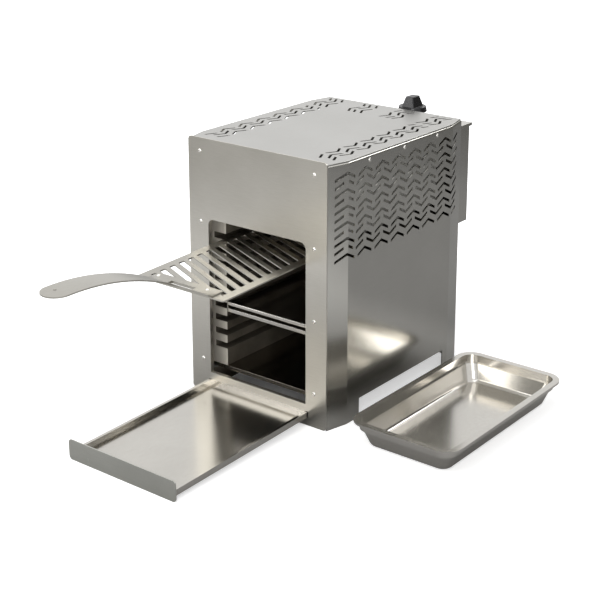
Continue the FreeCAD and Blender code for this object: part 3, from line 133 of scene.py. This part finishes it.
def fired_stainless(name, base, stain, roughness, metal=0.6):
    """Sheet round the flame: an oxide skin in soft clouds dulls the metal's mirror."""
    material, tree, shader = new_material(name, Metallic=metal)
    cloud = add(tree, "ShaderNodeTexNoise", Vector=object_pattern(tree), Scale=14.0, Detail=5.0)
    ramp = add(tree, "ShaderNodeValToRGB", Fac=cloud.outputs[0])
    ramp.color_ramp.elements[0].position = 0.35
    ramp.color_ramp.elements[0].color = linear(stain)
    ramp.color_ramp.elements[1].position = 0.65
    ramp.color_ramp.elements[1].color = linear(base)
    tree.links.new(ramp.outputs[0], shader.inputs["Base Color"])
    rough = add(tree, "ShaderNodeMapRange", Value=cloud.outputs[0], To_Min=roughness,
                To_Max=roughness + 0.15)
    tree.links.new(rough.outputs[0], shader.inputs["Roughness"])
    return material


def turned_brass(name):
    """Turned brass fittings: warm metal with fine rings from the lathe."""
    material, tree, shader = new_material(name, Metallic=1.0)
    rings = add(tree, "ShaderNodeTexNoise", Vector=object_pattern(tree, LATHE_RINGS), Scale=3.0,
                Detail=2.0)
    ramp = add(tree, "ShaderNodeValToRGB", Fac=rings.outputs[0])
    ramp.color_ramp.elements[0].color = linear("#8a6a34")
    ramp.color_ramp.elements[1].color = linear("#c9a55c")
    tree.links.new(ramp.outputs[0], shader.inputs["Base Color"])
    rough = add(tree, "ShaderNodeMapRange", Value=rings.outputs[0], To_Min=0.25, To_Max=0.4)
    tree.links.new(rough.outputs[0], shader.inputs["Roughness"])
    return material


def moulded_phenolic(name):
    """Black phenolic moulding of the knob: satin skin with a faint orange peel."""
    material, tree, shader = new_material(name, Metallic=0.0, IOR=1.5)
    peel = add(tree, "ShaderNodeTexNoise", Vector=object_pattern(tree), Scale=700.0, Detail=2.0)
    ramp = add(tree, "ShaderNodeValToRGB", Fac=peel.outputs[0])
    ramp.color_ramp.elements[0].color = linear("#0b0b0d")
    ramp.color_ramp.elements[1].color = linear("#1b1b1e")
    tree.links.new(ramp.outputs[0], shader.inputs["Base Color"])
    rough = add(tree, "ShaderNodeMapRange", Value=peel.outputs[0], To_Min=0.2, To_Max=0.32)
    tree.links.new(rough.outputs[0], shader.inputs["Roughness"])
    bump = add(tree, "ShaderNodeBump", Strength=0.08, Distance=PEEL_DEPTH, Height=peel.outputs[0])
    tree.links.new(bump.outputs[0], shader.inputs["Normal"])
    return material


def cordierite(name):
    """Burner tile: chalky cordierite with rows of small flame ports in dark dots of painted shade."""
    material, tree, shader = new_material(name, Metallic=0.0, Roughness=0.85, IOR=1.5)
    place = object_pattern(tree, (1 / PORT_PITCH, 1 / PORT_PITCH, 1 / PORT_PITCH))
    ports = add(tree, "ShaderNodeTexVoronoi", Vector=place, Scale=1.0, Randomness=0.0)
    ramp = add(tree, "ShaderNodeValToRGB", Fac=ports.outputs["Distance"])
    # painted shade: the ports are not cut; their dark dots stand for the shade inside them
    ramp.color_ramp.elements[0].position = 0.22
    ramp.color_ramp.elements[0].color = linear("#2a2520")
    ramp.color_ramp.elements[1].position = 0.30
    ramp.color_ramp.elements[1].color = linear("#d8cdb8")
    tree.links.new(ramp.outputs[0], shader.inputs["Base Color"])
    return material


def glazed_ceramic(name):
    """Glazed alumina of the igniter and the thermocouple: ivory white with a soft gloss."""
    material, tree, shader = new_material(name, Metallic=0.0, IOR=1.5)
    cloud = add(tree, "ShaderNodeTexNoise", Vector=object_pattern(tree), Scale=60.0)
    ramp = add(tree, "ShaderNodeValToRGB", Fac=cloud.outputs[0])
    ramp.color_ramp.elements[0].color = linear("#d9d4c8")
    ramp.color_ramp.elements[1].color = linear("#efece4")
    tree.links.new(ramp.outputs[0], shader.inputs["Base Color"])
    rough = add(tree, "ShaderNodeMapRange", Value=cloud.outputs[0], To_Min=0.15, To_Max=0.3)
    tree.links.new(rough.outputs[0], shader.inputs["Roughness"])
    return material


FINISH = {
    "plate": brushed_stainless("ground_stainless_front", "#d2cfc8", "#c5c2ba", 0.32, BELT_ACROSS),
    "casing": brushed_stainless("ground_stainless_casing", "#ceccc6", "#c2c0ba", 0.17, BELT_BACKWARDS),
    "roof": brushed_stainless("ground_stainless_roof", "#c2c1be", "#b6b5b1", 0.34, ROOF_BELT),
    "grate": brushed_stainless("cut_stainless_grate", "#bcb9b1", "#aaa79f", 0.30, GRATE_BELT),
    "tray": brushed_stainless("ground_stainless_tray", "#d0cdc7", "#c4c1bb", 0.2, BELT_BACKWARDS),
    # a little darker than the front plate's ground stainless: painted shade for the shaded floor it
    # mirrors
    "panel": brushed_stainless("ground_stainless_tray_front", "#c3c3bd", "#b7b7b1", 0.34, BELT_ACROSS),
    "pan": brushed_stainless("polished_stainless_pan", "#cfccc6", "#c3c0ba", 0.18, PAN_POLISH,
                             smear=0.02, relief=0.005),
    # the rivet steel is lighter than the sheet: a painted highlight, so that the domes show bright dots
    "rivet": brushed_stainless("rivet_steel_painted_highlight", "#efede8", "#e0ded8", 0.22, RIVET_SPECKLE),
    # the comb's base is lighter and warmer than the other ground stainless: painted light on the teeth
    "comb": brushed_stainless("ground_stainless_comb", "#eae5da", "#dcd6ca", 0.45, UPRIGHT_BELT,
                              metal=0.6),
    "floor": brushed_stainless("tinted_stainless_floor", "#a8a298", "#8d877c", 0.2, BELT_ACROSS),
    "fired": fired_stainless("heat_stained_stainless", "#857e72", "#5a544a", 0.38),
    "hood": fired_stainless("aluminised_steel_hood", "#d6d5d0", "#b6b4ae", 0.4, metal=0.55),
    "brass": turned_brass("turned_brass"),
    "phenolic": moulded_phenolic("black_phenolic"),
    "tile": cordierite("cordierite_tile"),
    "glaze": glazed_ceramic("glazed_insulator"),
}

WEARS = {
    "plate": ["front_plate", "front_frame"],
    "casing": ["side_panel_left", "side_panel_right", "rear_plate", "valve_cover"],
    "roof": ["roof_panel"],
    "grate": ["grate", "grate_handle"],
    "tray": ["drip_tray", "shelf_rail", "shelf_tray"],
    "panel": ["tray_front", "tray_rivets"],
    "pan": ["gn_pan"],
    "rivet": ["front_rivets", "side_rivets", "handle_rivets", "valve_stem"],
    "comb": ["comb_frame"],
    "floor": ["chamber_floor"],
    "fired": ["rack_left", "rack_right", "chamber_back", "tray_guide_left", "tray_guide_right",
              "tile_frame"],
    "hood": ["burner_hood", "burner_plenum", "burner_bracket_front", "burner_bracket_rear",
             "mixing_tube"],
    "brass": ["gas_valve", "injector", "gas_inlet", "thrust_collar"],
    "phenolic": ["control_knob"],
    "tile": ["ceramic_tile_front", "ceramic_tile_rear"],
    "glaze": ["ignition_electrode", "thermocouple"],
}

finish_of = {name: FINISH[finish] for finish, names in WEARS.items() for name in names}
body_of = {name: body for body, names in frame["record"]["behaviour"]["bodies"].items() for name in names}

# ---------------------------------------------------------------- sheet pieces with broken edges

EDGE_BREAK = {       # millimetres
    "front_plate": 0.45, "side_panel_left": 0.3, "side_panel_right": 0.3, "roof_panel": 0.3, "grate": 0.4,
    "grate_handle": 0.4, "comb_frame": 0.3, "tray_front": 0.4, "drip_tray": 0.25, "valve_cover": 0.3,
    "control_knob": 0.5, "shelf_tray": 0.3, "shelf_rail": 0.4, "chamber_floor": 0.3, "front_frame": 0.3,
}

# Angles in degrees. A bent sheet keeps its fold lines, which are flatter than other creases.
CREASE = 35
FOLDED_CREASE = {"side_panel_left": 9, "side_panel_right": 9}
BROKEN_FROM = 40
FLAT_WITHIN = 0.6
WELD = 0.01 * MM            # vertices closer than this become one


def softened(name, width):
    """Stand in for a node with a copy of its mesh, whose sharp edges get a small rounded break."""
    source = frame["nodes"][name]
    mesh = source.data.copy()
    work = bmesh.new()
    work.from_mesh(mesh)
    bmesh.ops.remove_doubles(work, verts=work.verts, dist=WELD)
    bmesh.ops.dissolve_limit(work, angle_limit=math.radians(FLAT_WITHIN), verts=work.verts,
                             edges=work.edges)
    work.to_mesh(mesh)
    work.free()
    # The normals that a CAD mesh brings belong to its loose triangles and would blur the folds.
    loose_normals = mesh.attributes.get("custom_normal")
    if loose_normals:
        mesh.attributes.remove(loose_normals)
    mesh.shade_smooth()
    mesh.set_sharp_from_angle(angle=math.radians(FOLDED_CREASE.get(name, CREASE)))
    piece = bpy.data.objects.new(name + "_sheet", mesh)
    bpy.context.scene.collection.objects.link(piece)
    edge = piece.modifiers.new("edge_break", "BEVEL")
    edge.width = width * MM
    edge.segments = 2
    edge.limit_method = "ANGLE"
    edge.angle_limit = math.radians(BROKEN_FROM)
    edge.harden_normals = True
    flat = piece.modifiers.new("flat_faces", "WEIGHTED_NORMAL")
    flat.keep_sharp = True
    mesh.materials.clear()
    mesh.materials.append(finish_of[name])
    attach(piece, body_of[name])
    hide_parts(name)
    return piece


for name, item in frame["nodes"].items():
    if name in EDGE_BREAK:
        softened(name, EDGE_BREAK[name])
    else:
        item.data.materials.clear()
        item.data.materials.append(finish_of[name])

# ---------------------------------------------------------------- stage

FLOOR_HALF = 4.0
PAPER_MATTE = 0.55      # the paper takes the most shadow up to this distance from the middle
PAPER_GLOW = 0.5        # its own light up to there
PAPER_WHITE = 1.1       # from this distance on it is plain white
PAINTED_SHADE_SIDE = 0.085       # painted shade: the paper's own light is cut out under the casing up to here, right of its middle
PAINTED_SHADE_BLUR = 0.05        # share of the casing's half size over which that painted shade ends

# Painted reflection of the paper in metal: (metres from the middle, grey), and the grey at the back.
PAINTED_REFLECTION_LEVELS = [(0.2, 0.35), (0.45, 0.5), (0.75, 0.85), (1.12, 0.42), (1.5, 0.24)]
PAINTED_REFLECTION_REACH = 1.5
BACK_FROM = 0.05
BACK_FULL = 0.5
BACK_GREY = 0.34


def extent(name):
    """The two opposite corners of a CAD node's box, in the scene's coordinates."""
    item = frame["nodes"][name]
    corners = [item.matrix_world @ Vector(corner) for corner in item.bound_box]
    return Vector(map(min, zip(*corners))), Vector(map(max, zip(*corners)))


def stage_plane(name, corners, material):
    """A flat sheet of the stage, which is no part of the object."""
    mesh = bpy.data.meshes.new(name)
    work = bmesh.new()
    work.faces.new([work.verts.new(corner) for corner in corners])
    work.to_mesh(mesh)
    work.free()
    made = bpy.data.objects.new(name, mesh)
    bpy.context.scene.collection.objects.link(made)
    mesh.materials.append(material)
    return made


def painted_reflection_grey(tree, place, distance):
    """Painted reflection: grey of the paper in metal, after PAINTED_REFLECTION_LEVELS, darker at the
    back.
    """
    reach = add(tree, "ShaderNodeMath", {"operation": "DIVIDE"}, _0=distance, _1=PAINTED_REFLECTION_REACH)
    around = add(tree, "ShaderNodeValToRGB", Fac=reach.outputs[0])
    stops = around.color_ramp.elements
    stops.remove(stops[1])
    for metres, level in PAINTED_REFLECTION_LEVELS:
        made = stops.new(metres / PAINTED_REFLECTION_REACH)
        made.color = (level, level, level, 1)
    stops.remove(stops[0])
    depth = add(tree, "ShaderNodeSeparateXYZ", Vector=place).outputs["Y"]
    behind = add(tree, "ShaderNodeMapRange", Value=depth, From_Min=BACK_FROM, From_Max=BACK_FULL,
                 To_Min=1.0, To_Max=BACK_GREY)
    return add(tree, "ShaderNodeMath", {"operation": "MINIMUM"}, _0=around.outputs[0],
               _1=behind.outputs[0]).outputs[0]


def glow_outside_painted_shade(tree, place):
    """Zero under the casing, where the paper's own light is cut out as painted shade, and one outside it.
    """
    low, high = extent("roof_panel")
    high.x = (low.x + high.x) / 2 + PAINTED_SHADE_SIDE
    middle = (low + high) / 2
    half = (high - low) / 2
    off = add(tree, "ShaderNodeVectorMath", {"operation": "SUBTRACT"}, _0=place,
              _1=(middle.x, middle.y, 0))
    share = add(tree, "ShaderNodeVectorMath", {"operation": "DIVIDE"}, _0=off.outputs[0],
                _1=(half.x, half.y, 1))
    part = add(tree, "ShaderNodeVectorMath", {"operation": "ABSOLUTE"}, _0=share.outputs[0])
    axes = add(tree, "ShaderNodeSeparateXYZ", Vector=part.outputs[0])
    outward = add(tree, "ShaderNodeMath", {"operation": "MAXIMUM"}, _0=axes.outputs["X"],
                  _1=axes.outputs["Y"])
    return add(tree, "ShaderNodeMapRange", Value=outward.outputs[0], From_Min=1 - PAINTED_SHADE_BLUR,
               From_Max=1 + PAINTED_SHADE_BLUR).outputs[0]


def floor_paper():
    """White paper: matte near the set so that it takes shadows, plain white further out.

    Its own light is for the camera alone and is cut out under the casing, which paints shade there.
    Polished metal sees the paper by the lamps' light, in a painted grey: a painted reflection.
    """
    material, tree, shader = new_material("white_paper", Roughness=0.95, Metallic=0.0, IOR=1.3)
    path = add(tree, "ShaderNodeLightPath")
    place = object_pattern(tree)
    distance = add(tree, "ShaderNodeVectorMath", {"operation": "LENGTH"}, _0=place).outputs["Value"]

    # painted reflection: glossy rays see the paper in a painted grey, other rays see it white
    tone = add(tree, "ShaderNodeMix", {"data_type": "RGBA"}, _0=path.outputs["Is Glossy Ray"],
               _6=linear("#f4f4f4"), _7=painted_reflection_grey(tree, place, distance))
    tree.links.new(tone.outputs[2], shader.inputs["Base Color"])

    glow = add(tree, "ShaderNodeMapRange", Value=distance, From_Min=PAPER_MATTE,
               From_Max=PAPER_WHITE, To_Min=PAPER_GLOW, To_Max=1.0)
    # painted shade: the paper's glow is cut out under the casing
    lit = add(tree, "ShaderNodeMath", {"operation": "MULTIPLY"}, _0=glow_outside_painted_shade(tree, place),
              _1=glow.outputs[0])
    seen = add(tree, "ShaderNodeMath", {"operation": "MULTIPLY"}, _0=lit.outputs[0],
               _1=path.outputs["Is Camera Ray"])
    shader.inputs["Emission Color"].default_value = linear("#ffffff")
    tree.links.new(seen.outputs[0], shader.inputs["Emission Strength"])
    return material


def glowing_reflection_card(name, colour, shade):
    """Studio card that glows evenly though it is no lamp: a painted reflection, a calm darker field for
    bright metal to mirror.
    """
    material, tree, shader = new_material(name, Roughness=0.9, Metallic=0.0)
    shader.inputs["Base Color"].default_value = linear("#000000")
    weave = add(tree, "ShaderNodeTexNoise", Vector=object_pattern(tree), Scale=200.0)
    ramp = add(tree, "ShaderNodeValToRGB", Fac=weave.outputs[0])
    ramp.color_ramp.elements[0].color = linear(shade)
    ramp.color_ramp.elements[1].color = linear(colour)
    tree.links.new(ramp.outputs[0], shader.inputs["Emission Color"])
    shader.inputs["Emission Strength"].default_value = 1.0
    return material


def card(name, centre, heading, width, height, paint):
    """An upright card on the floor, its width turned by heading degrees; only metal sees it."""
    turn = math.radians(heading)
    along = Vector((math.cos(turn), -math.sin(turn), 0)) * width / 2
    foot = Vector((centre[0], centre[1], 0))
    rise = Vector((0, 0, height))
    corners = [foot - along, foot + along, foot + along + rise, foot - along + rise]
    made = stage_plane(name, corners, paint)
    made.visible_camera = False
    made.visible_diffuse = False
    made.visible_shadow = False
    made.visible_transmission = False
    return made


half = FLOOR_HALF
stage_plane("paper_floor", [(-half, -half, 0), (half, -half, 0), (half, half, 0), (-half, half, 0)],
            floor_paper())
# Two glowing cards that only metal sees: painted reflections of darker surroundings to the right and the
# front.
card("card_right", (1.05, 1.57), 34, 2.6, 1.25, glowing_reflection_card("dark_reflection_card", "#686763", "#605f5b"))
card("card_front", (-1.10, -1.30), -140, 2.2, 0.85, glowing_reflection_card("grey_reflection_card", "#9c9a94", "#94928c"))

# ---------------------------------------------------------------- light

WORLD_FILL = 0.55       # the white room's strength as a light; it shows at full strength
SOFTBOXES = {           # place, what it points at, side in metres, watts
    "top_softbox": ((-0.5, -0.6, 2.4), (0, 0, 0.2), 2.6, 26),
    "front_softbox": ((-1.4, -1.7, 1.0), (-0.1, 0, 0.2), 1.2, 16),
    "side_softbox": ((1.9, -2.5, 1.1), (0, 0.1, 0.2), 1.4, 28),
    "rear_softbox": ((0.9, 2.1, 1.6), (0.1, 0.2, 0.2), 0.6, 6),
}


def seen_directly(tree):
    """One for camera, glossy and transmission rays, else zero."""
    path = add(tree, "ShaderNodeLightPath")
    first = add(tree, "ShaderNodeMath", {"operation": "MAXIMUM"}, _0=path.outputs["Is Camera Ray"],
                _1=path.outputs["Is Glossy Ray"])
    return add(tree, "ShaderNodeMath", {"operation": "MAXIMUM"}, _0=first.outputs[0],
               _1=path.outputs["Is Transmission Ray"]).outputs[0]


def white_room():
    """White surroundings that light the set more softly than they look."""
    world = bpy.data.worlds.new("studio")
    bpy.context.scene.world = world
    world.use_nodes = True
    tree = world.node_tree
    background = tree.nodes["Background"]
    background.inputs["Color"].default_value = linear("#ffffff")
    level = add(tree, "ShaderNodeMapRange", Value=seen_directly(tree), To_Min=WORLD_FILL, To_Max=1.0)
    tree.links.new(level.outputs[0], background.inputs["Strength"])


def softbox(name, place, aim, side, watts):
    """A square area lamp that points at a place on the set."""
    lamp = bpy.data.lights.new(name, "AREA")
    lamp.energy = watts
    lamp.size = side
    made = bpy.data.objects.new(name, lamp)
    bpy.context.scene.collection.objects.link(made)
    made.location = place
    made.rotation_euler = (Vector(aim) - Vector(place)).to_track_quat("-Z", "Y").to_euler()
    return made


white_room()
for name, (place, aim, side, watts) in SOFTBOXES.items():
    softbox(name, place, aim, side, watts)

# ---------------------------------------------------------------- camera

# Its place is measured from the foot of the front plate's middle. Turn and tilt are in radians.
CAMERA_FROM_PLATE = (1.2461, -1.4811, 0.9159)
CAMERA_TURN = 0.666
CAMERA_TILT = 0.264
FOCAL_PIXELS = 1394.2
PICTURE_PIXELS = 600
SENSOR = 36.0           # millimetres
FRAME_DROP = 143.3      # pixels by which the lens is shifted down to frame the set

plate_low, plate_high = extent("front_plate")
plate_foot = Vector(((plate_low.x + plate_high.x) / 2, plate_low.y, 0))

lens = bpy.data.cameras.new("camera")
lens.sensor_width = SENSOR
lens.lens = SENSOR * FOCAL_PIXELS / PICTURE_PIXELS
lens.shift_y = -FRAME_DROP / PICTURE_PIXELS
lens.clip_end = 20
camera = bpy.data.objects.new("camera", lens)
bpy.context.scene.collection.objects.link(camera)
camera.location = plate_foot + Vector(CAMERA_FROM_PLATE)
camera.rotation_euler = (math.pi / 2 - CAMERA_TILT, 0, CAMERA_TURN)
bpy.context.scene.camera = camera
bpy.context.scene.view_settings.view_transform = "Standard"
